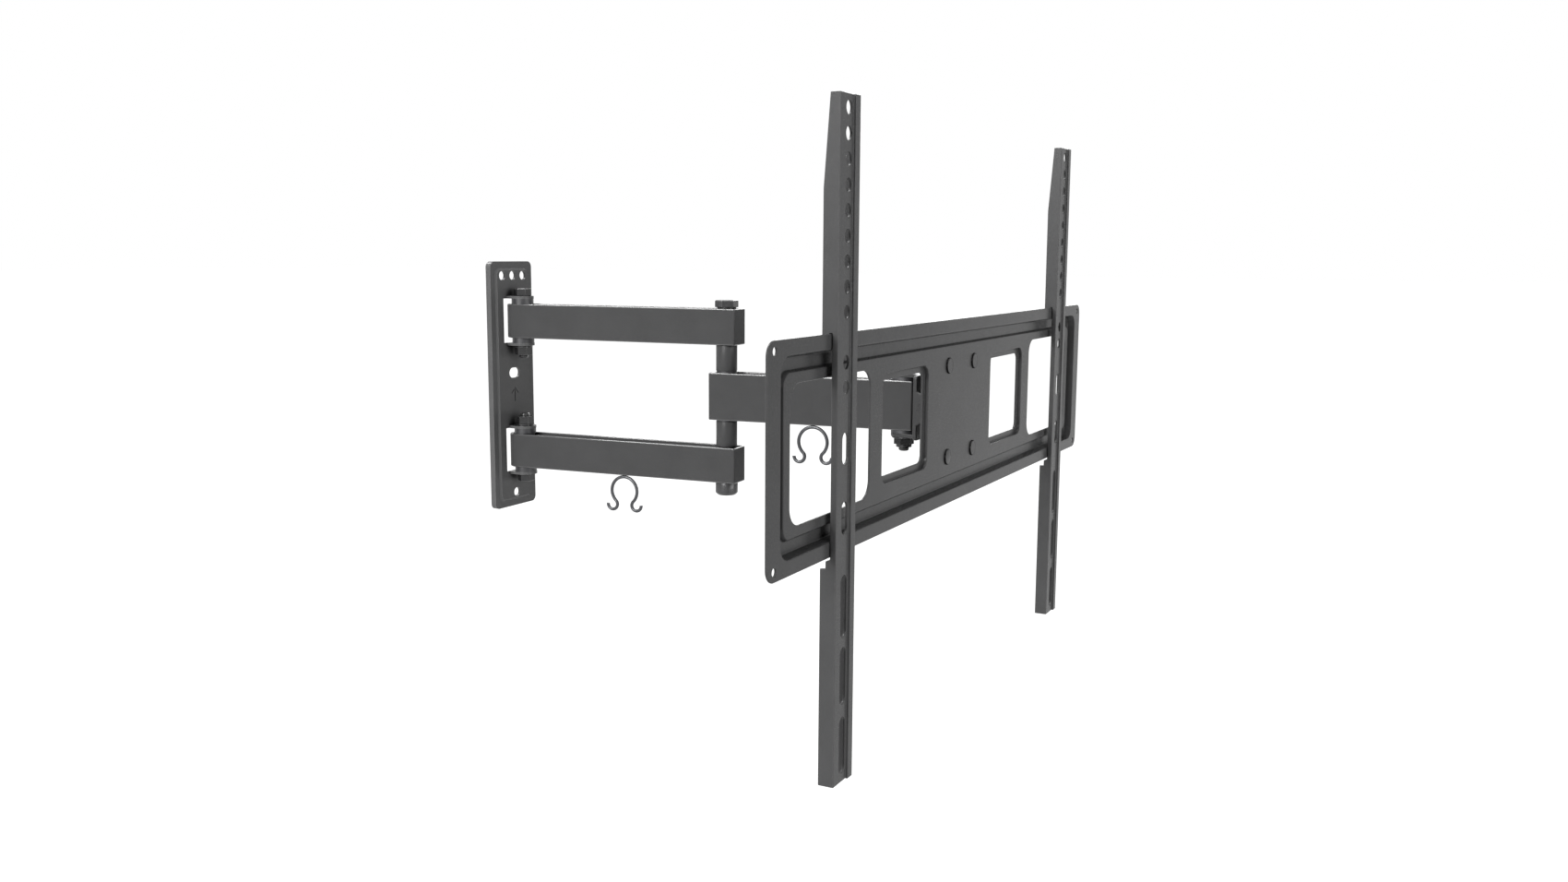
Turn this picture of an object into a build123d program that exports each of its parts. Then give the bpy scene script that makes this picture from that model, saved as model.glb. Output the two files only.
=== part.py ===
import math
import os
from build123d import *

os.makedirs("parts", exist_ok=True)

# driving sizes, millimetres: wall back on the plane Y = 0, the screen side faces -Y
sheet = 2.0                 # pressed sheet
strap = 2.5                 # flat steel of the arms
wall_w, wall_h, wall_d = 56.0, 217.0, 5.0
hole_dx, hole_z = 14.0, 96.3  # wall screw holes
hinge_y = 17.0              # wall hinge axis in front of the wall
arm_reach, arm_heading = 197.65, 4.643
fore_reach, fore_heading = 152.84, 6.01
arm_w = 21.5                # outer width of the strap loops
arm_z0, arm_z1 = 42.3, 71.8 # upper arm; the lower arm mirrors it
fore_half = 19.5            # half height of the forearm
plate_w, plate_h = 645.0, 138.5
head_gap = 50.0             # head axis to the front of the screen plate
rail_l, rail_w, rail_d = 430.0, 25.6, 11.0
rail_drop = 3.0             # rail middle below the plate middle
rail_left_x, rail_right_x = -208.0, 259.0
fit = 0.09                  # radial running clearance of the pivots

bolt_r = 4.0                # M8 pivots
elbow_r = 5.0               # M10 elbow pivot
ear_t = 2.2
bush_t = 4.6                # flanged bush between ear and arm
arm_h = arm_z1 - arm_z0
ear_in = arm_z1 + bush_t    # inner face of the outer ears
low_in = arm_z0 - bush_t    # inner ears, seen from the arm
wall_front = -wall_d
panel_y = wall_front - 1.4  # raised panel of the wall plate

a1 = math.radians(arm_heading)
a2 = math.radians(fore_heading)
ax_y = -hinge_y
el_x, el_y = arm_reach * math.sin(a1), ax_y - arm_reach * math.cos(a1)
hd_x, hd_y = el_x + fore_reach * math.sin(a2), el_y - fore_reach * math.cos(a2)
front_y = hd_y - head_gap   # front of the screen plate's border
arm_plane = Plane(origin=(0, ax_y, 0), x_dir=(math.cos(a1), math.sin(a1), 0), z_dir=(0, 0, 1))
elbow_plane = Plane(origin=(el_x, el_y, 0), x_dir=(math.cos(a1), math.sin(a1), 0), z_dir=(0, 0, 1))
fore_plane = Plane(origin=(el_x, el_y, 0), x_dir=(math.cos(a2), math.sin(a2), 0), z_dir=(0, 0, 1))
head_plane = Plane(origin=(hd_x, hd_y, 0), x_dir=(1, 0, 0), z_dir=(0, 0, 1))


def facing(y, x=0.0, z=0.0):
    # sketch plane parallel to the wall, extruding towards the screen side
    return Plane(origin=(x, y, z), x_dir=(1, 0, 0), z_dir=(0, -1, 0))


def save(built, name):
    built.part.label = name
    export_step(built.part, "parts/" + name + ".step")


# wall plate: pressed tray with a turned-back rim, raised panel, two windows and four ears
with BuildPart() as wall_plate:
    with BuildSketch(facing(0)):
        RectangleRounded(wall_w, wall_h, 5)
    extrude(amount=wall_d)
    with BuildSketch(facing(wall_front + 0.5)):
        RectangleRounded(wall_w - 11, wall_h - 11, 6)
    with BuildSketch(facing(panel_y)):
        RectangleRounded(wall_w - 14.6, wall_h - 14.6, 4.5)
    loft()
    with BuildSketch(facing(0)):
        RectangleRounded(wall_w - 2 * sheet, wall_h - 2 * sheet, 3)
    extrude(amount=wall_d - sheet, mode=Mode.SUBTRACT)
    with BuildSketch(facing(0)):
        RectangleRounded(wall_w - 17, wall_h - 17, 4)
    extrude(amount=-panel_y - sheet, mode=Mode.SUBTRACT)
    # the ears are bent out of the two windows
    for s in (1, -1):
        with BuildSketch(facing(0)):
            with Locations((0, s * (low_in + ear_in) / 2)):
                Rectangle(26, ear_in - low_in)
        extrude(amount=20, mode=Mode.SUBTRACT)
        for z0 in (ear_in, low_in - ear_t):
            zz = z0 if s > 0 else -z0 - ear_t
            with BuildSketch(Plane.XY.offset(zz)):
                with Locations((0, ax_y)):
                    Circle(9.8)
                with Locations((0, (ax_y + panel_y + sheet) / 2)):
                    Rectangle(19.6, panel_y + sheet - ax_y)
            extrude(amount=ear_t)
    with Locations((0, ax_y, 0)):
        Cylinder(bolt_r + fit, 2 * ear_in + 20, mode=Mode.SUBTRACT)
    # fixing holes
    with BuildSketch(facing(0)):
        with Locations((-hole_dx, hole_z), (0, hole_z), (hole_dx, hole_z), (0, -hole_z)):
            Circle(4)
        with Locations((0, 10.8)):
            SlotOverall(14, 9)
    extrude(amount=20, mode=Mode.SUBTRACT)
    # up mark, pressed in
    with BuildSketch(facing(panel_y + 0.5)):
        with Locations((0, -8.5)):
            Rectangle(1.1, 12)
        with Locations((2.2, -4.8)):
            Rectangle(1.1, 7, rotation=45)
        with Locations((-2.2, -4.8)):
            Rectangle(1.1, 7, rotation=-45)
    extrude(amount=2, mode=Mode.SUBTRACT)
save(wall_plate, "wall_plate")

# wall hinge hardware, upper set and its mirror image below
head_t, nut_t, tail = 6.6, 8.2, 3.0
with BuildPart() as upper_wall_bolt:
    with BuildSketch(Plane.XY.offset(ear_in + ear_t)):
        with Locations((0, ax_y)):
            RegularPolygon(6.5, 6, major_radius=False)
    extrude(amount=head_t)
    with BuildSketch(Plane.XY.offset(low_in - ear_t - nut_t - tail)):
        with Locations((0, ax_y)):
            Circle(bolt_r)
    extrude(amount=ear_in + ear_t - (low_in - ear_t - nut_t - tail))
    chamfer(upper_wall_bolt.faces().sort_by(Axis.Z)[0].edges(), 0.8)
    chamfer(upper_wall_bolt.faces().sort_by(Axis.Z)[-1].edges(), 0.5)
save(upper_wall_bolt, "upper_wall_bolt")

with BuildPart() as upper_wall_nut:
    with BuildSketch(Plane.XY.offset(low_in - ear_t - nut_t)):
        with Locations((0, ax_y)):
            RegularPolygon(6.5, 6, major_radius=False)
    extrude(amount=nut_t - 1.6)
    with BuildSketch(Plane.XY.offset(low_in - ear_t - 1.6)):
        with Locations((0, ax_y)):
            Circle(8)
    extrude(amount=1.6)
    with Locations((0, ax_y, low_in)):
        Cylinder(bolt_r, 60, mode=Mode.SUBTRACT)
save(upper_wall_nut, "upper_wall_nut")

with BuildPart() as lower_wall_bolt:
    mirror(upper_wall_bolt.part, about=Plane.XY)
save(lower_wall_bolt, "lower_wall_bolt")
with BuildPart() as lower_wall_nut:
    mirror(upper_wall_nut.part, about=Plane.XY)
save(lower_wall_nut, "lower_wall_nut")

# nylon flange bushes between the ears and the arms
def bush_pair(s):
    for z0, z1 in ((arm_z1, ear_in), (low_in, arm_z0)):
        lo = z0 if s > 0 else -z1
        with BuildSketch(Plane.XY.offset(lo)) as ring:
            with Locations((0, ax_y)):
                Circle(9.5)
                Circle(bolt_r + fit, mode=Mode.SUBTRACT)
        extrude(ring.sketch, amount=z1 - z0)


with BuildPart() as upper_wall_bushes:
    bush_pair(1)
save(upper_wall_bushes, "upper_wall_bushes")
with BuildPart() as lower_wall_bushes:
    bush_pair(-1)
save(lower_wall_bushes, "lower_wall_bushes")


# strap loops: rounded at the wall, square at the elbow, open above and below
end_over, arc_back = 12.0, 3.0
with BuildPart() as upper_arm:
    for t, mode in ((0, Mode.ADD), (strap, Mode.SUBTRACT)):
        with BuildSketch(arm_plane.offset(arm_z0)):
            with BuildLine():
                w, e = arm_w / 2 - t, -arm_reach - end_over + t
                Polyline((w, arc_back), (w, e), (-w, e), (-w, arc_back))
                ThreePointArc((-w, arc_back), (0, arc_back + w), (w, arc_back))
            make_face()
        extrude(amount=arm_h, mode=mode)
        if t == 0:
            fillet(upper_arm.edges().filter_by(Axis.Z).sort_by(Axis.Y)[:2], 1.6)
save(upper_arm, "upper_arm")
with BuildPart() as lower_arm:
    mirror(upper_arm.part, about=Plane.XY)
save(lower_arm, "lower_arm")


# pivot tubes welded between the straps
def tube_at(plane, y, z0, z1, outer, inner):
    with BuildSketch(plane.offset(z0)) as ring:
        with Locations((0, y)):
            Circle(outer)
            Circle(inner, mode=Mode.SUBTRACT)
    extrude(ring.sketch, amount=z1 - z0)


tube_r = arm_w / 2 - strap
with BuildPart() as upper_arm_wall_tube:
    tube_at(arm_plane, 0, arm_z0, arm_z1, tube_r, bolt_r + fit)
save(upper_arm_wall_tube, "upper_arm_wall_tube")
with BuildPart() as lower_arm_wall_tube:
    tube_at(arm_plane, 0, -arm_z1, -arm_z0, tube_r, bolt_r + fit)
save(lower_arm_wall_tube, "lower_arm_wall_tube")
with BuildPart() as upper_arm_elbow_tube:
    tube_at(arm_plane, -arm_reach, arm_z0, arm_z1, tube_r, elbow_r)
save(upper_arm_elbow_tube, "upper_arm_elbow_tube")
with BuildPart() as lower_arm_elbow_tube:
    tube_at(arm_plane, -arm_reach, -arm_z1, -arm_z0, tube_r, elbow_r)
save(lower_arm_elbow_tube, "lower_arm_elbow_tube")

# elbow: one long bolt, a washer, two spacer tubes, a closed nut and two nylon washers
spacer_r = 8.8
with BuildPart() as elbow_bolt:
    with BuildSketch(elbow_plane.offset(arm_z1 + 1.2)):
        RegularPolygon(8.5, 6, major_radius=False)
    extrude(amount=5.8)
    chamfer(elbow_bolt.faces().sort_by(Axis.Z)[-1].edges(), 0.6)
    with BuildSketch(elbow_plane.offset(-arm_z1 - 7)):
        Circle(elbow_r)
    extrude(amount=2 * arm_z1 + 8.2)
save(elbow_bolt, "elbow_bolt")
with BuildPart() as elbow_washer:
    tube_at(elbow_plane, 0, arm_z1, arm_z1 + 1.2, 8.0, elbow_r + fit)
save(elbow_washer, "elbow_washer")
with BuildPart() as elbow_nut:
    with BuildSketch(elbow_plane.offset(-arm_z1 - 11)):
        Circle(9.4)
    extrude(amount=11)
    chamfer(elbow_nut.faces().sort_by(Axis.Z)[0].edges(), 2.0)
    with BuildSketch(elbow_plane.offset(-arm_z1 - 7.2)):
        Circle(elbow_r)
    extrude(amount=10, mode=Mode.SUBTRACT)
save(elbow_nut, "elbow_nut")
nylon_t = 1.4
with BuildPart() as upper_spacer:
    tube_at(elbow_plane, 0, fore_half + nylon_t, arm_z0, spacer_r, elbow_r + fit)
save(upper_spacer, "upper_spacer")
with BuildPart() as lower_spacer:
    tube_at(elbow_plane, 0, -arm_z0, -fore_half - nylon_t, spacer_r, elbow_r + fit)
save(lower_spacer, "lower_spacer")
with BuildPart() as elbow_bushes:
    tube_at(elbow_plane, 0, fore_half, fore_half + nylon_t, 8.4, elbow_r + fit)
    tube_at(elbow_plane, 0, -fore_half - nylon_t, -fore_half, 8.4, elbow_r + fit)
save(elbow_bushes, "elbow_bushes")

# forearm loop with a pivot tube at each end
head_over = 9.3
with BuildPart() as forearm:
    with BuildSketch(fore_plane.offset(-fore_half)):
        with BuildLine():
            Polyline((-arm_w / 2, end_over), (arm_w / 2, end_over), (arm_w / 2, -fore_reach - head_over), (-arm_w / 2, -fore_reach - head_over), close=True)
        make_face()
    extrude(amount=2 * fore_half)
    fillet(forearm.edges().filter_by(Axis.Z), 1.6)
    with BuildSketch(fore_plane.offset(-fore_half)):
        with BuildLine():
            i, e, h = arm_w / 2 - strap, end_over - strap, -fore_reach - head_over + strap
            Polyline((-i, e), (i, e), (i, h), (-i, h), close=True)
        make_face()
    extrude(amount=2 * fore_half, mode=Mode.SUBTRACT)
save(forearm, "forearm")
with BuildPart() as forearm_elbow_tube:
    tube_at(fore_plane, 0, -fore_half, fore_half, tube_r, elbow_r + fit)
save(forearm_elbow_tube, "forearm_elbow_tube")
head_tube_r = head_over - strap
with BuildPart() as forearm_head_tube:
    tube_at(fore_plane, -fore_reach, -fore_half, fore_half, head_tube_r, bolt_r + fit)
    with BuildSketch(fore_plane.offset(-6)):
        with Locations((0, -fore_reach)):
            Rectangle(arm_w - 2 * strap, 6)
            Circle(bolt_r + 1, mode=Mode.SUBTRACT)
    extrude(amount=12)
save(forearm_head_tube, "forearm_head_tube")

# swivel bracket of the head: back ears round the forearm, front cheeks for the tilt
web_y, web_t = 16.0, 3.0
sw_half, head_bush = 23.0, 2.6
ear_z = fore_half + head_bush
tilt_y = 30.0               # tilt axis in front of the head axis
cheek_h = 14.0
with BuildPart() as swivel_bracket:
    with BuildSketch(facing(hd_y - web_y, hd_x)):
        RectangleRounded(2 * sw_half, 2 * (ear_z + web_t), 3)
    extrude(amount=web_t)
    for z0 in (ear_z, -ear_z - web_t):
        with BuildSketch(head_plane.offset(z0)):
            Circle(10.5)
            with Locations((0, -(web_y + 0.5) / 2)):
                Rectangle(21, web_y + 0.5)
        extrude(amount=web_t)
    with Locations((hd_x, hd_y, 0)):
        Cylinder(bolt_r + fit, 90, mode=Mode.SUBTRACT)
    for s in (1, -1):
        with BuildSketch(Plane(origin=(hd_x + s * (sw_half - web_t / 2), hd_y, 0), x_dir=(0, 1, 0), z_dir=(1, 0, 0))):
            with Locations((-tilt_y, 0)):
                Circle(6.5)
            with BuildLine():
                Polyline((-tilt_y, -6.5), (-tilt_y, 6.5), (-web_y - 1, cheek_h), (-web_y - 1, -cheek_h), close=True)
            make_face()
        extrude(amount=web_t / 2, both=True)
    with Locations(Location((hd_x, hd_y - tilt_y, 0), (0, 90, 0))):
        Cylinder(bolt_r + fit, 80, mode=Mode.SUBTRACT)
save(swivel_bracket, "swivel_bracket")

with BuildPart() as head_bushes:
    tube_at(head_plane, 0, fore_half, ear_z, 10.5, bolt_r + fit)
    tube_at(head_plane, 0, -ear_z, -fore_half, 10.5, bolt_r + fit)
save(head_bushes, "head_bushes")
low_ear = -ear_z - web_t
with BuildPart() as head_bolt:
    with BuildSketch(head_plane.offset(ear_z + web_t)):
        RegularPolygon(6.5, 6, major_radius=False)
    extrude(amount=5.3)
    chamfer(head_bolt.faces().sort_by(Axis.Z)[-1].edges(), 0.5)
    with BuildSketch(head_plane.offset(low_ear - 11.6)):
        Circle(bolt_r)
    extrude(amount=ear_z + web_t - low_ear + 11.6)
    chamfer(head_bolt.faces().sort_by(Axis.Z)[0].edges(), 0.8)
save(head_bolt, "head_bolt")
with BuildPart() as head_washer:
    tube_at(head_plane, 0, low_ear - 1.2, low_ear, 9.6, bolt_r)
save(head_washer, "head_washer")
with BuildPart() as head_nut:
    with BuildSketch(head_plane.offset(low_ear - 1.2 - 5.0)):
        RegularPolygon(6.9, 6, major_radius=False)
    extrude(amount=5.0)
    with BuildSketch(head_plane.offset(low_ear - 1.2 - 7.2)):
        Circle(6.2)
    extrude(amount=2.2)
    with Locations((hd_x, hd_y, low_ear)):
        Cylinder(bolt_r, 60, mode=Mode.SUBTRACT)
save(head_nut, "head_nut")

# screen plate relief: border, closed channel, panel, windows with stepped rims
chan_d, panel_d, step_d = 6.5, 3.5, 3.0
chan_hw, chan_hh = plate_w / 2 - 16.5, 59.6
pan_hw, pan_hh = plate_w / 2 - 26.5, 49.0
draft = 1.8
plate_t = 1.5               # sheet of the screen plate
rivet_dx, rivet_dz = 55.4, 69.0
panel_front = front_y + panel_d
with BuildPart() as screen_plate:
    with BuildSketch(facing(front_y + plate_t, hd_x)):
        RectangleRounded(plate_w, plate_h, 9)
    extrude(amount=plate_t)
    # outside of the channel
    with BuildSketch(facing(front_y + chan_d + plate_t, hd_x)):
        RectangleRounded(2 * (chan_hw - draft + 1.2), 2 * (chan_hh - draft + 1.2), 10)
    with BuildSketch(facing(front_y + plate_t, hd_x)):
        RectangleRounded(2 * (chan_hw + 1.2), 2 * (chan_hh + 1.2), 12)
    loft()
    # channel hollow
    with BuildSketch(facing(front_y + chan_d, hd_x)):
        RectangleRounded(2 * (chan_hw - draft), 2 * (chan_hh - draft), 9)
    with BuildSketch(facing(front_y, hd_x)):
        RectangleRounded(2 * chan_hw, 2 * chan_hh, 11)
    loft(mode=Mode.SUBTRACT)
    # raised panel
    with BuildSketch(facing(front_y + chan_d, hd_x)):
        RectangleRounded(2 * (pan_hw + 1.4), 2 * (pan_hh + 1.4), 9)
    with BuildSketch(facing(panel_front, hd_x)):
        RectangleRounded(2 * pan_hw, 2 * pan_hh, 8)
    loft()
    with BuildSketch(facing(front_y + chan_d + plate_t, hd_x)):
        RectangleRounded(2 * (pan_hw - 0.4), 2 * (pan_hh - 0.4), 8)
    with BuildSketch(facing(panel_front + plate_t, hd_x)):
        RectangleRounded(2 * (pan_hw - 1.8), 2 * (pan_hh - 1.8), 7)
    loft(mode=Mode.SUBTRACT)
    # stepped rims round the two small windows
    for s in (1, -1):
        with BuildSketch(facing(panel_front + step_d + plate_t, hd_x + s * 110.5)):
            RectangleRounded(83 + 3, 75 + 3, 9)
        extrude(amount=step_d + 0.5)
        with BuildSketch(facing(panel_front + step_d, hd_x + s * 110.5)):
            RectangleRounded(83, 75, 8)
        extrude(amount=10, mode=Mode.SUBTRACT)
        with BuildSketch(facing(front_y + 20, hd_x + s * 110.5)):
            RectangleRounded(75, 65.5, 6)
        extrude(amount=40, mode=Mode.SUBTRACT)
        with BuildSketch(facing(front_y + 20, hd_x + s * 230)):
            RectangleRounded(115, 84.6, 12)
        extrude(amount=40, mode=Mode.SUBTRACT)
    # rivet holes and corner holes
    with BuildSketch(facing(front_y + 20, hd_x)):
        with GridLocations(rivet_dx, rivet_dz, 2, 2):
            Circle(3)
        with GridLocations(plate_w - 18, plate_h - 12.5, 2, 2):
            Circle(2.4)
    extrude(amount=40, mode=Mode.SUBTRACT)
save(screen_plate, "screen_plate")

# tilt bracket riveted behind the panel
panel_back = panel_front + plate_t
tb_t, tb_w, tb_h = 3.0, 72.0, 88.0
cheek_in = sw_half + 0.2
with BuildPart() as tilt_bracket:
    with BuildSketch(facing(panel_back + tb_t, hd_x)):
        RectangleRounded(tb_w, tb_h, 5)
    extrude(amount=tb_t)
    for s in (1, -1):
        with BuildSketch(Plane(origin=(hd_x + s * (cheek_in + tb_t / 2), hd_y, 0), x_dir=(0, 1, 0), z_dir=(1, 0, 0))):
            with Locations((-tilt_y, 0)):
                Circle(9)
            with BuildLine():
                y1 = panel_back + tb_t - hd_y - 1
                Polyline((-tilt_y, -9), (-tilt_y, 9), (y1, 22), (y1, -22), close=True)
            make_face()
        extrude(amount=tb_t / 2, both=True)
    with Locations(Location((hd_x, hd_y - tilt_y, 0), (0, 90, 0))):
        Cylinder(bolt_r, 90, mode=Mode.SUBTRACT)
    with BuildSketch(facing(front_y + 20, hd_x)):
        with GridLocations(rivet_dx, rivet_dz, 2, 2):
            Circle(3)
    extrude(amount=40, mode=Mode.SUBTRACT)
save(tilt_bracket, "tilt_bracket")

with BuildPart() as plate_rivets:
    with BuildSketch(facing(panel_back + tb_t + 1.6, hd_x)):
        with GridLocations(rivet_dx, rivet_dz, 2, 2):
            Circle(4.6)
    extrude(amount=1.6)
    with BuildSketch(facing(panel_back + tb_t + 0.5, hd_x)):
        with GridLocations(rivet_dx, rivet_dz, 2, 2):
            Circle(3)
    extrude(amount=tb_t + plate_t + 1)
    with BuildSketch(facing(panel_front, hd_x)):
        with GridLocations(rivet_dx, rivet_dz, 2, 2):
            Circle(6)
    extrude(amount=1.2)
    chamfer(plate_rivets.faces().filter_by(Axis.Y).group_by(Axis.Y)[0].edges(), 0.5)
save(plate_rivets, "plate_rivets")

tilt_plane = Plane(origin=(hd_x, hd_y - tilt_y, 0), x_dir=(0, 1, 0), z_dir=(1, 0, 0))
out_x = cheek_in + tb_t
with BuildPart() as tilt_bolt:
    with BuildSketch(tilt_plane.offset(-out_x - 1.4 - 5.3)):
        RegularPolygon(6.5, 6, major_radius=False)
    extrude(amount=5.3)
    with BuildSketch(tilt_plane.offset(-out_x - 1.4)):
        Circle(bolt_r)
    extrude(amount=2 * (out_x + 1.4) + 9.5)
    chamfer(tilt_bolt.faces().sort_by(Axis.X)[-1].edges(), 0.8)
save(tilt_bolt, "tilt_bolt")
with BuildPart() as tilt_washers:
    tube_at(tilt_plane, 0, -out_x - 1.4, -out_x, 8.5, bolt_r)
    tube_at(tilt_plane, 0, out_x, out_x + 1.4, 8.5, bolt_r)
save(tilt_washers, "tilt_washers")
with BuildPart() as tilt_nut:
    with BuildSketch(tilt_plane.offset(out_x + 1.4)):
        RegularPolygon(6.5, 6, major_radius=False)
        Circle(bolt_r, mode=Mode.SUBTRACT)
    extrude(amount=7.5)
save(tilt_nut, "tilt_nut")

# rail: bent channel with a stepped face, hooked over the plate's upper edge
web_front = front_y - 4.2
web_w, outer_step = 18.6, 1.5
screw_r = 4.3               # holes and slots for the screen's screws
top_z = rail_l / 2 - rail_drop
bot_z = top_z - rail_l
back_y = web_front + rail_d
slots = ((-2.2, 20), (-46.0, 20.6), (-102.5, 40), (-147.7, 37), (-193.6, 37))
plate_top = plate_h / 2
with BuildPart() as left_rail:
    with BuildSketch(Plane.XY.offset(bot_z)):
        with BuildLine():
            xo = rail_left_x
            yo = web_front - outer_step
            Polyline(
                (xo, back_y), (xo, web_front), (xo + web_w, web_front), (xo + web_w, yo), (xo + rail_w, yo), (xo + rail_w, back_y),
                (xo + rail_w - sheet, back_y), (xo + rail_w - sheet, yo + sheet), (xo + web_w + 1.4, yo + sheet),
                (xo + web_w + 1.4, web_front + sheet), (xo + sheet, web_front + sheet), (xo + sheet, back_y), close=True)
        make_face()
    extrude(amount=rail_l)
    side = Plane(origin=(rail_left_x, 0, 0), x_dir=(0, 1, 0), z_dir=(1, 0, 0))
    # tapered upper ends of the two flanges
    with BuildSketch(side):
        with BuildLine():
            Polyline((web_front + 7.0, top_z + 1), (web_front + 7.0, top_z - 1), (back_y, top_z - 56), (back_y + 2, top_z - 56), (back_y + 2, top_z + 1), close=True)
        make_face()
    extrude(amount=sheet, mode=Mode.SUBTRACT)
    with BuildSketch(side.offset(rail_w - sheet)):
        with BuildLine():
            Polyline((web_front + 1.0, top_z + 1), (web_front + 1.0, top_z - 1), (back_y, top_z - 56), (back_y + 2, top_z - 56), (back_y + 2, top_z + 1), close=True)
        make_face()
    extrude(amount=sheet, mode=Mode.SUBTRACT)
    # passage for the plate, with a hook tooth above and a notch below
    with BuildSketch(side):
        with BuildLine():
            tooth_y = front_y + plate_t + 0.15
            Polyline(
                (front_y, plate_top), (tooth_y, plate_top), (tooth_y, plate_top - 6.5), (back_y + 2, plate_top - 6.5), (back_y + 2, -plate_top - 7.5),
                (back_y - 3.7, -plate_top - 7.2), (back_y - 3.7, -plate_top - 2.6), (front_y, -plate_top - 1.2), close=True)
        make_face()
    extrude(amount=rail_w, mode=Mode.SUBTRACT)
    # screw holes and slots of the web
    with BuildSketch(facing(back_y, rail_left_x + 12.6)):
        with Locations(*[(0, 203.8 - 15.25 * k) for k in (0, 1, 2, 3, 4, 5, 6, 7, 8, 10, 11)]):
            Circle(screw_r)
        for zc, ln in slots:
            with Locations((0, zc)):
                SlotOverall(ln, 2 * screw_r, rotation=90)
    extrude(amount=30, mode=Mode.SUBTRACT)
save(left_rail, "left_rail")
with BuildPart() as right_rail:
    add(left_rail.part.moved(Location((rail_right_x - rail_left_x, 0, 0))))
save(right_rail, "right_rail")

# wire clips below the straps
wire_r = 1.4


def clip_plane(base, along):
    # sketch plane along the arm, through the middle of the near strap
    c = base.from_local_coords(Vector(-arm_w / 2 + strap / 2, -along, 0))
    d = base.from_local_coords(Vector(0, -1, 0)) - base.from_local_coords(Vector(0, 0, 0))
    return Plane(origin=c, x_dir=d, z_dir=d.cross(Vector(0, 0, 1)))


def clip(plane, zc):
    big, small, dx, dz = 12.1, 4.5, 11.5, -12.2
    k = big / (big + small)
    tx, tz = dx * k, dz * k
    with BuildLine(plane) as wire:
        hook_l = ThreePointArc((-dx - small, zc + dz + 0.5), (-dx, zc + dz - small), (-tx, zc + tz))
        bow = ThreePointArc((-tx, zc + tz), (0, zc + big), (tx, zc + tz))
        hook_r = ThreePointArc((tx, zc + tz), (dx, zc + dz - small), (dx + small, zc + dz + 0.5))
    with BuildSketch(Plane(origin=wire.line @ 0, z_dir=wire.line % 0)) as section:
        Circle(wire_r)
    sweep(section.sketch, path=wire.line)


with BuildPart() as arm_clip:
    clip(clip_plane(arm_plane, 105.4), -arm_z1 - 12.1 - wire_r)
save(arm_clip, "arm_clip")
with BuildPart() as forearm_clip:
    clip(clip_plane(fore_plane, 79.8), -fore_half - 12.1 - wire_r)
save(forearm_clip, "forearm_clip")
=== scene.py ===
import math

import bmesh
import bpy
from mathutils import Matrix, Vector


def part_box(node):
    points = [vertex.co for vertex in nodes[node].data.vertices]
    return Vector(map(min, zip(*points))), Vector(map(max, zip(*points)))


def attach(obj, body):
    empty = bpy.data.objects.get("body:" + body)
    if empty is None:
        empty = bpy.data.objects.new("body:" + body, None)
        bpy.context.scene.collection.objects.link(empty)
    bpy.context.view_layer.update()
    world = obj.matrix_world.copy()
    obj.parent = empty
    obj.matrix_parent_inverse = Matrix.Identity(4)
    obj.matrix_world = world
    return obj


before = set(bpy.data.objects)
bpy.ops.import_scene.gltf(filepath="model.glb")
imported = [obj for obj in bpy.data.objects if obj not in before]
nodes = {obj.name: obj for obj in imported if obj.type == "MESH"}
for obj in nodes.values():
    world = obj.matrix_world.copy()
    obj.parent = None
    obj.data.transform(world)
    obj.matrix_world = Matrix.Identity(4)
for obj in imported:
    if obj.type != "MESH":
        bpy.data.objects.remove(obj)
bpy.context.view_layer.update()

# camera at the photograph's view: metres, degrees, and the focal length in the photograph's pixels
IMAGE_W = 1700
FOCAL_PX = 1446.97
SENSOR_MM = 36.0
CAMERA_PLACE = (-0.93786, -0.76210, 0.11766)
CAMERA_AZIMUTH, CAMERA_ELEVATION, CAMERA_ROLL = -62.60, 8.04, 0.34
CLIP_NEAR, CLIP_FAR = 0.02, 50


def new_object(name, data):
    obj = bpy.data.objects.new(name, data)
    bpy.context.scene.collection.objects.link(obj)
    return obj


def camera():
    az, el, roll = (math.radians(a) for a in (CAMERA_AZIMUTH, CAMERA_ELEVATION, CAMERA_ROLL))
    forward = Vector((-math.sin(az) * math.cos(el), math.cos(az) * math.cos(el), -math.sin(el)))
    level = Vector((math.cos(az), math.sin(az), 0))
    upright = level.cross(forward)
    right = level * math.cos(roll) + upright * math.sin(roll)
    up = upright * math.cos(roll) - level * math.sin(roll)
    data = bpy.data.cameras.new("camera")
    data.sensor_fit = "HORIZONTAL"
    data.sensor_width = SENSOR_MM
    data.lens = FOCAL_PX / IMAGE_W * SENSOR_MM
    data.clip_start, data.clip_end = CLIP_NEAR, CLIP_FAR
    cam = new_object("camera", data)
    place = Matrix((right, up, -forward)).transposed().to_4x4()
    place.translation = Vector(CAMERA_PLACE)
    cam.matrix_world = place
    bpy.context.scene.camera = cam


camera()

# sockets of the colour mix node, whose names repeat
MIX_FACTOR, MIX_A, MIX_B, MIX_RESULT = 0, 6, 7, 2
WHITE = (1, 1, 1, 1)


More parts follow.
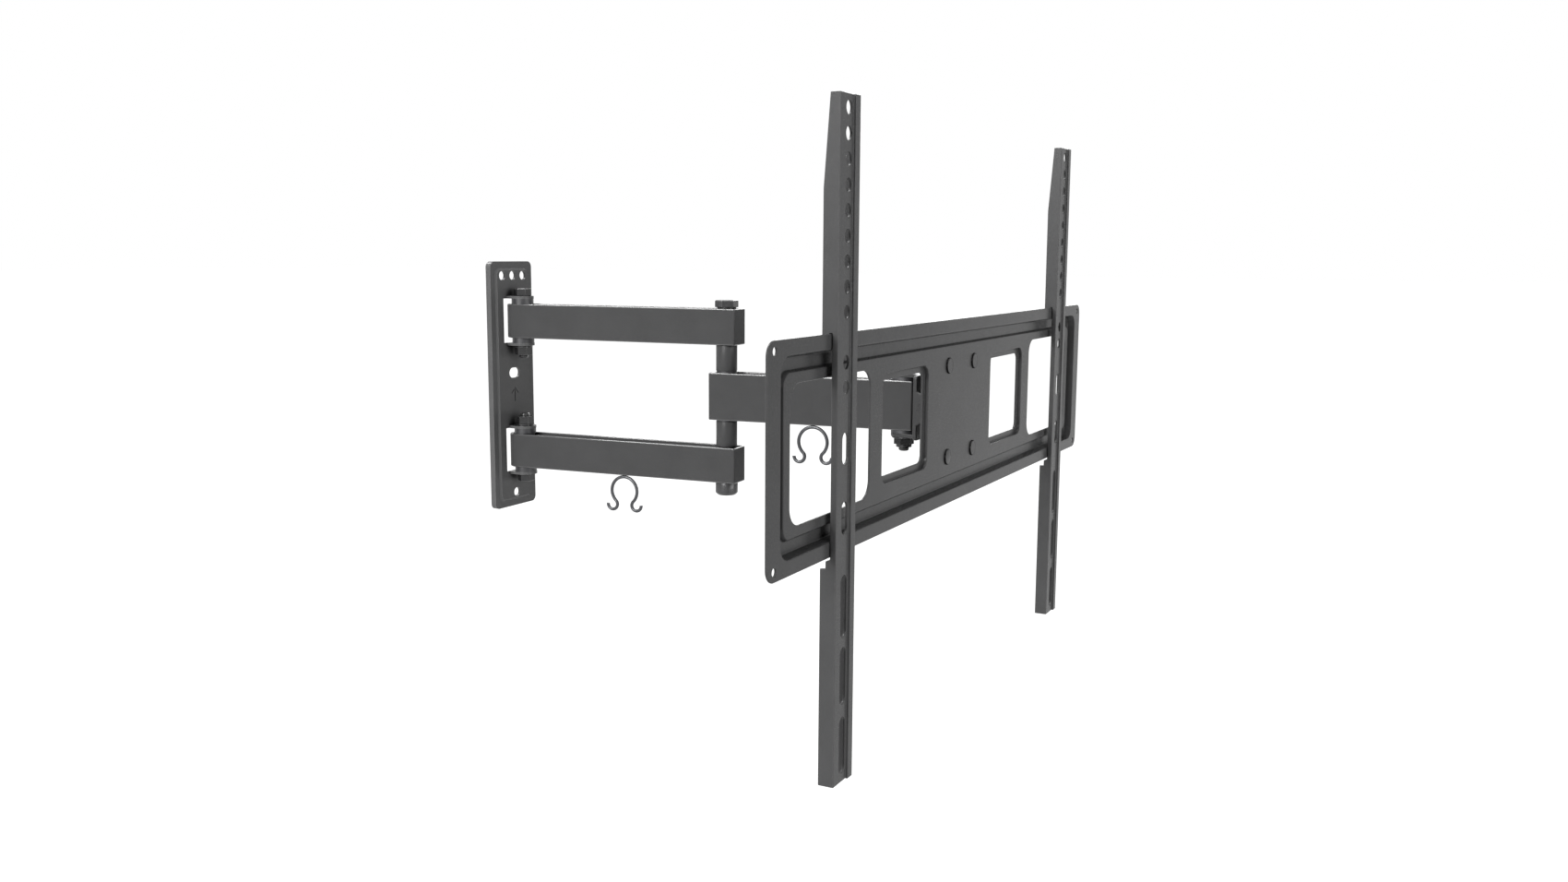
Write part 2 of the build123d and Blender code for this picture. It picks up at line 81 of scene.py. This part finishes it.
class Nodes:
    # a node tree, with short calls for what the finishes below need
    def __init__(self, tree):
        self.tree = tree

    def new(self, kind, sockets=None, **settings):
        node = self.tree.nodes.new(kind)
        for key, value in settings.items():
            setattr(node, key, value)
        for key, value in (sockets or {}).items():
            node.inputs[key].default_value = value
        return node

    def link(self, a, b):
        self.tree.links.new(a, b)

    def noise(self, scale, detail, rough):
        coord = self.new("ShaderNodeTexCoord")
        tex = self.new("ShaderNodeTexNoise", {"Scale": scale, "Detail": detail, "Roughness": rough})
        self.link(coord.outputs["Object"], tex.inputs["Vector"])
        return tex.outputs["Fac"]

    def ramp(self, source, stops):
        ramp = self.new("ShaderNodeValToRGB")
        for element, (at, colour) in zip(ramp.color_ramp.elements, stops):
            element.position = at
            element.color = (*colour, 1)
        self.link(source, ramp.inputs["Fac"])
        return ramp.outputs["Color"]

    def mix(self, kind, factor, a, b):
        # a and b are colours or the sockets that give them, and so is the factor
        node = self.new("ShaderNodeMix", data_type="RGBA", blend_type=kind)
        for index, value in ((MIX_FACTOR, factor), (MIX_A, a), (MIX_B, b)):
            if isinstance(value, bpy.types.NodeSocket):
                self.link(value, node.inputs[index])
            else:
                node.inputs[index].default_value = value
        return node.outputs[MIX_RESULT]

    def backdrop_rays(self):
        # 1 for the rays that look at the backdrop, straight or through a mirror or clear part
        path = self.new("ShaderNodeLightPath")
        looking = path.outputs["Is Camera Ray"]
        for ray in ("Is Transmission Ray", "Is Glossy Ray"):
            either = self.new("ShaderNodeMath", operation="MAXIMUM")
            self.link(looking, either.inputs[0])
            self.link(path.outputs[ray], either.inputs[1])
            looking = either.outputs["Value"]
        return looking

    def surface(self, factor, plain, bright, output):
        blend = self.new("ShaderNodeMixShader")
        self.link(factor, blend.inputs["Fac"])
        self.link(plain, blend.inputs[1])
        self.link(bright, blend.inputs[2])
        self.link(blend.outputs["Shader"], self.tree.nodes[output].inputs["Surface"])


class Finish(Nodes):
    # the node tree of a new material
    def __init__(self, name):
        self.mat = bpy.data.materials.new(name)
        self.mat.use_nodes = True
        super().__init__(self.mat.node_tree)
        self.bsdf = self.tree.nodes["Principled BSDF"]

    def mottled(self, source, base, *stops):
        # the base colour, darker or lighter with the noise: each stop is its position and gain
        return self.ramp(source, [(at, [c * gain for c in base]) for at, gain in stops])

    def edge_mask(self, radius, low, high):
        # 1 where the rounded normal departs from the flat one, which is along the rims
        bevel = self.new("ShaderNodeBevel", {"Radius": radius}, samples=4)
        geo = self.new("ShaderNodeNewGeometry")
        dot = self.new("ShaderNodeVectorMath", operation="DOT_PRODUCT")
        self.link(bevel.outputs["Normal"], dot.inputs[0])
        self.link(geo.outputs["Normal"], dot.inputs[1])
        scale = self.new("ShaderNodeMapRange", {"From Min": high, "From Max": low})
        self.link(dot.outputs["Value"], scale.inputs["Value"])
        return scale.outputs["Result"]

    def with_painted_rim_highlights(self, colour, base, mask, gain, lift):
        # painted highlight: the rims' colour is the base made lighter, mixed in along the rim mask
        rim_highlight = (*[min(1, c * gain + lift) for c in base], 1)
        return self.mix("MIX", self.edge_mask(*mask), colour, rim_highlight)

    def paint_recess_shade(self, colour, *reaches):
        # painted shade: darker where a recess of that reach hides the surface, unchanged on open
        # faces
        for reach in reaches:
            ao = self.new("ShaderNodeAmbientOcclusion", {"Distance": reach}, samples=8)
            colour = self.mix("MULTIPLY", 1.0, colour, self.ramp(ao.outputs["AO"], PAINTED_SHADE_STOPS))
        return colour

    def bump(self, *heights):
        # each height is its source, strength and distance
        normal = self.bsdf.inputs["Normal"]
        for source, strength, distance in reversed(heights):
            node = self.new("ShaderNodeBump", {"Strength": strength, "Distance": distance})
            self.link(source, node.inputs["Height"])
            self.link(node.outputs["Normal"], normal)
            normal = node.inputs["Normal"]


# noises: scale, detail, roughness
MOTTLE = (38.0, 3.0, 0.55)
ORANGE_PEEL = (620.0, 2.0, 0.5)
FINE_GRAIN = (2600.0, 2.0, 0.6)
STEEL_BLOTCH = (240.0, 4.0, 0.6)
STEEL_GRAIN = (1500.0, 2.0, 0.5)
NYLON_CLOUD = (160.0, 2.0, 0.5)
NYLON_GRAIN = (900.0, 1.0, 0.5)

# painted rim highlights: radius in metres, and the range of the normals' product that fades them in
COAT_RIM_HIGHLIGHT = (0.0006, 0.86, 0.995)
STEEL_RIM_HIGHLIGHT = (0.0005, 0.80, 0.98)

# painted shade: reach in metres of the hollows, channels and seams darkened in the colour, and how
# dark they get
COAT_SHADE_REACH = 0.013
RAIL_SHADE_REACH = 0.005
STEEL_SHADE_REACH = 0.008
SEAM_SHADE_REACH = 0.0016
PAINTED_SHADE_STOPS = [(0.30, (0.15, 0.15, 0.15)), (0.75, (1, 1, 1))]


def powder(name, base, rough, shade_reach=COAT_SHADE_REACH, gloss=0.10, rim_highlight=0.02):
    # powder coat: fine orange peel, faint mottling, rims with a painted highlight, and painted
    # shade in the recesses and seams
    m = Finish(name)
    colour = m.mottled(m.noise(*MOTTLE), base, (0.35, 0.96), (0.65, 1.04))
    colour = m.with_painted_rim_highlights(colour, base, COAT_RIM_HIGHLIGHT, 1.5, rim_highlight)
    m.link(m.paint_recess_shade(colour, shade_reach, SEAM_SHADE_REACH), m.bsdf.inputs["Base Color"])
    fine = m.noise(*FINE_GRAIN)
    m.bump((m.noise(*ORANGE_PEEL), 0.10, 0.0004), (fine, 0.16, 0.00015))
    spread = m.ramp(fine, [(0.3, (rough - 0.05,) * 3), (0.7, (rough + 0.06,) * 3)])
    m.link(spread, m.bsdf.inputs["Roughness"])
    m.bsdf.inputs["Specular IOR Level"].default_value = gloss
    return m.mat


def zinc(name, base, rough):
    # blackened steel of the bolts and wires
    m = Finish(name)
    colour = m.mottled(m.noise(*STEEL_BLOTCH), base, (0.3, 0.8), (0.7, 1.25))
    # painted highlight along the rims
    colour = m.with_painted_rim_highlights(colour, base, STEEL_RIM_HIGHLIGHT, 1.7, 0.08)
    # painted shade in the recesses and seams
    m.link(m.paint_recess_shade(colour, STEEL_SHADE_REACH, SEAM_SHADE_REACH), m.bsdf.inputs["Base Color"])
    m.bump((m.noise(*STEEL_GRAIN), 0.08, 0.0002))
    m.bsdf.inputs["Metallic"].default_value = 0.35
    m.bsdf.inputs["Roughness"].default_value = rough
    return m.mat


def nylon(name, base):
    # moulded bushes: faint clouds and a fine grain
    m = Finish(name)
    colour = m.mottled(m.noise(*NYLON_CLOUD), base, (0.3, 0.85), (0.7, 1.15))
    m.link(colour, m.bsdf.inputs["Base Color"])
    m.bump((m.noise(*NYLON_GRAIN), 0.05, 0.0002))
    m.bsdf.inputs["Roughness"].default_value = 0.42
    return m.mat


# one coat, a little lighter or duller on the pieces that look so in the photograph; the lighter
# copies are painted light, standing in for the light those pieces catch
COAT = powder("coat", (0.040, 0.040, 0.0405), 0.24, gloss=0.07)
COAT_ARM_LIT = powder("coat_arm_lit", (0.047, 0.047, 0.0475), 0.24, gloss=0.02)
# the straps' rims: shinier, with a stronger painted highlight lifted into their colour
COAT_RIM = powder("coat_rim", (0.050, 0.050, 0.0505), 0.16, gloss=0.80, rim_highlight=0.10)
COAT_WALL_LIT = powder("coat_wall_lit", (0.074, 0.074, 0.0745), 0.24)
COAT_RAIL_LIT = powder("coat_rail_lit", (0.050, 0.050, 0.0505), 0.24, shade_reach=RAIL_SHADE_REACH, gloss=0.07)
TUBE = powder("coat_tube", (0.044, 0.044, 0.0445), 0.28)
BLACK = zinc("black_steel", (0.020, 0.020, 0.0205), 0.24)
ELBOW_STEEL = zinc("elbow_steel", (0.040, 0.040, 0.041), 0.26)
WIRE = zinc("wire", (0.045, 0.046, 0.050), 0.30)
NYLON = nylon("nylon", (0.020, 0.020, 0.022))

ARMS = ("upper_arm", "lower_arm", "forearm")

# finishes by a word in the node's name, the first that fits; whole names stand before shorter words
FINISHES = {
    "bush": NYLON,
    "clip": WIRE,
    "elbow_bolt": ELBOW_STEEL,
    "elbow_nut": ELBOW_STEEL,
    "elbow_washer": ELBOW_STEEL,
    "bolt": BLACK,
    "nut": BLACK,
    "washer": BLACK,
    "tube": TUBE,
    "spacer": TUBE,
    "rail": COAT_RAIL_LIT,
    "arm": COAT_ARM_LIT,
    "wall_plate": COAT_WALL_LIT,
}

# rounded edges on the metal pieces, in metres, again by the first word that fits
EDGE_WIDTHS = {
    "rail": 0.0006,
    "plate": 0.0006,
    "arm": 0.0008,
    "bracket": 0.0006,
    "bolt": 0.0005,
    "nut": 0.0005,
}
PLAIN_EDGE = 0.0004
AS_BUILT = ("clip", "bush", "wall_plate", "upper_wall_nut", "lower_wall_nut", "head_nut")
SAME_POINT = 0.00001
FLAT_ANGLE = 0.5
ROUNDED_ANGLE = 35
EDGE_SEGMENTS = 3


def first_fit(table, name, otherwise):
    return next((value for word, value in table.items() if word in name), otherwise)


def paint(obj, mat):
    obj.data.materials.clear()
    obj.data.materials.append(mat)
    for poly in obj.data.polygons:
        poly.material_index = 0


def round_edges(obj, width):
    # the faces are joined and the flat ones merged first, so that the bevel finds whole edges
    weld = obj.modifiers.new("weld", "WELD")
    weld.merge_threshold = SAME_POINT
    flat = obj.modifiers.new("flat", "DECIMATE")
    flat.decimate_type = "DISSOLVE"
    flat.angle_limit = math.radians(FLAT_ANGLE)
    bevel = obj.modifiers.new("edges", "BEVEL")
    bevel.use_clamp_overlap = False
    bevel.width = width
    bevel.segments = EDGE_SEGMENTS
    bevel.limit_method = "ANGLE"
    bevel.angle_limit = math.radians(ROUNDED_ANGLE)
    bevel.harden_normals = True
    return bevel


for name, obj in nodes.items():
    paint(obj, first_fit(FINISHES, name, COAT))
    if any(word in name for word in AS_BUILT):
        continue
    bevel = round_edges(obj, first_fit(EDGE_WIDTHS, name, PLAIN_EDGE))
    if name in ARMS:
        # the straps' rims shine, their faces are dull
        obj.data.materials.append(COAT_RIM)
        bevel.material = 1

# threads: a fine helical ridge on each bolt's bare end, from the nut's face nearly to the tip
THREAD_PITCH = 0.00125
THREAD_RADIUS = 0.0040
THREAD_PROUD = 0.00020
THREAD_SUNK = 0.00012
THREAD_HALF_WIDTH = 0.00042
THREAD_STEPS = 30
TIP_CHAMFER = 0.0003
Z_AXIS = 2


def thread(name, bolt, nut, body, axis, side):
    low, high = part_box(bolt)
    nut_low, nut_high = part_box(nut)
    tip = (high if side > 0 else low)[axis]
    face = (nut_high if side > 0 else nut_low)[axis]
    bare = abs(tip - face) - TIP_CHAMFER - 2 * THREAD_HALF_WIDTH
    centre = (Vector(nut_low) + Vector(nut_high)) / 2
    along, across, up = (Vector([float(i == (axis + k) % 3) for i in range(3)]) for k in range(3))
    centre -= along * centre[axis]
    profile = (
        (-THREAD_SUNK, -THREAD_HALF_WIDTH),
        (THREAD_PROUD, 0.0),
        (-THREAD_SUNK, THREAD_HALF_WIDTH),
    )
    verts, faces = [], []
    count = int(bare / THREAD_PITCH * THREAD_STEPS)
    for step in range(count + 1):
        turn = 2 * math.pi * step / THREAD_STEPS
        reach = THREAD_HALF_WIDTH + THREAD_PITCH * step / THREAD_STEPS
        outward = across * math.cos(turn) + up * math.sin(turn)
        for rise, shift in profile:
            place = centre + along * (face + side * (reach + shift))
            verts.append(place + outward * (THREAD_RADIUS + rise))
    for step in range(count):
        a, b = 3 * step, 3 * step + 3
        faces += [(a + j, a + (j + 1) % 3, b + (j + 1) % 3, b + j) for j in range(3)]
    faces += [(0, 2, 1), (3 * count, 3 * count + 1, 3 * count + 2)]
    mesh = bpy.data.meshes.new(name)
    mesh.from_pydata(verts, [], faces)
    bm = bmesh.new()
    bm.from_mesh(mesh)
    bmesh.ops.recalc_face_normals(bm, faces=bm.faces)
    bm.to_mesh(mesh)
    bm.free()
    mesh.materials.append(BLACK)
    obj = new_object(name, mesh)
    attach(obj, body)


thread("upper_wall_thread", "upper_wall_bolt", "upper_wall_nut", "base", Z_AXIS, -1)
thread("lower_wall_thread", "lower_wall_bolt", "lower_wall_nut", "base", Z_AXIS, 1)
thread("head_thread", "head_bolt", "head_nut", "head", Z_AXIS, -1)

# floor: a plain grey to the light, nearly white with the object's shadow to the backdrop's rays
FLOOR_Z = -0.42
FLOOR_HALF_SIZE = 30
FLOOR_GREY = (0.45, 0.45, 0.45, 1)
FLOOR_ROUGH = 0.9
FLOOR_GLOW = 1.26
FLOOR_GLOW_SHARE = 0.80


def floor():
    mesh = bpy.data.meshes.new("floor")
    bm = bmesh.new()
    bmesh.ops.create_grid(bm, x_segments=2, y_segments=2, size=FLOOR_HALF_SIZE)
    bm.to_mesh(mesh)
    bm.free()
    obj = new_object("floor", mesh)
    obj.location = (0, 0, FLOOR_Z)
    m = Finish("floor")
    m.bsdf.inputs["Base Color"].default_value = FLOOR_GREY
    m.bsdf.inputs["Roughness"].default_value = FLOOR_ROUGH
    share = m.new("ShaderNodeMath", {1: FLOOR_GLOW_SHARE}, operation="MULTIPLY")
    m.link(m.backdrop_rays(), share.inputs[0])
    glow = m.new("ShaderNodeEmission", {"Color": WHITE, "Strength": FLOOR_GLOW})
    plain, bright = m.bsdf.outputs["BSDF"], glow.outputs["Emission"]
    m.surface(share.outputs["Value"], plain, bright, "Material Output")
    mesh.materials.append(m.mat)


floor()

# studio light: broad lamps, each with its place, target and size in metres and its power in watts
LAMPS = {
    "left": ((-3.0, 0.2, 1.1), (0, -0.2, 0), 1.5, 138),
    "front": ((-0.2, -3.2, 0.4), (0, -0.3, 0), 1.8, 74),
    "top": ((-0.05, 0.3, 2.4), (0, -0.25, 0), 1.2, 85),
    "back": ((-0.1, 1.5, 2.3), (0, -0.25, 0), 1.0, 90),
    "right": ((3.0, 0.5, 1.2), (0, -0.2, 0), 1.5, 50),
}


def lamp(name, place, target, size, power):
    data = bpy.data.lights.new(name, "AREA")
    data.shape = "SQUARE"
    data.size = size
    data.energy = power
    obj = new_object(name, data)
    obj.location = place
    obj.rotation_euler = (Vector(target) - Vector(place)).to_track_quat("-Z", "Y").to_euler()


for name, values in LAMPS.items():
    lamp(name, *values)

# world: dim to the light, white to the backdrop's rays
SKY_LIGHT = 0.16
SKY_SEEN = 1.0


def sky():
    world = bpy.data.worlds.new("world")
    world.use_nodes = True
    m = Nodes(world.node_tree)
    dim = m.tree.nodes["Background"]
    dim.inputs["Color"].default_value = WHITE
    dim.inputs["Strength"].default_value = SKY_LIGHT
    bright = m.new("ShaderNodeBackground", {"Color": WHITE, "Strength": SKY_SEEN})
    plain, seen = dim.outputs["Background"], bright.outputs["Background"]
    m.surface(m.backdrop_rays(), plain, seen, "World Output")
    bpy.context.scene.world = world


sky()
bpy.context.scene.view_settings.view_transform = "Standard"
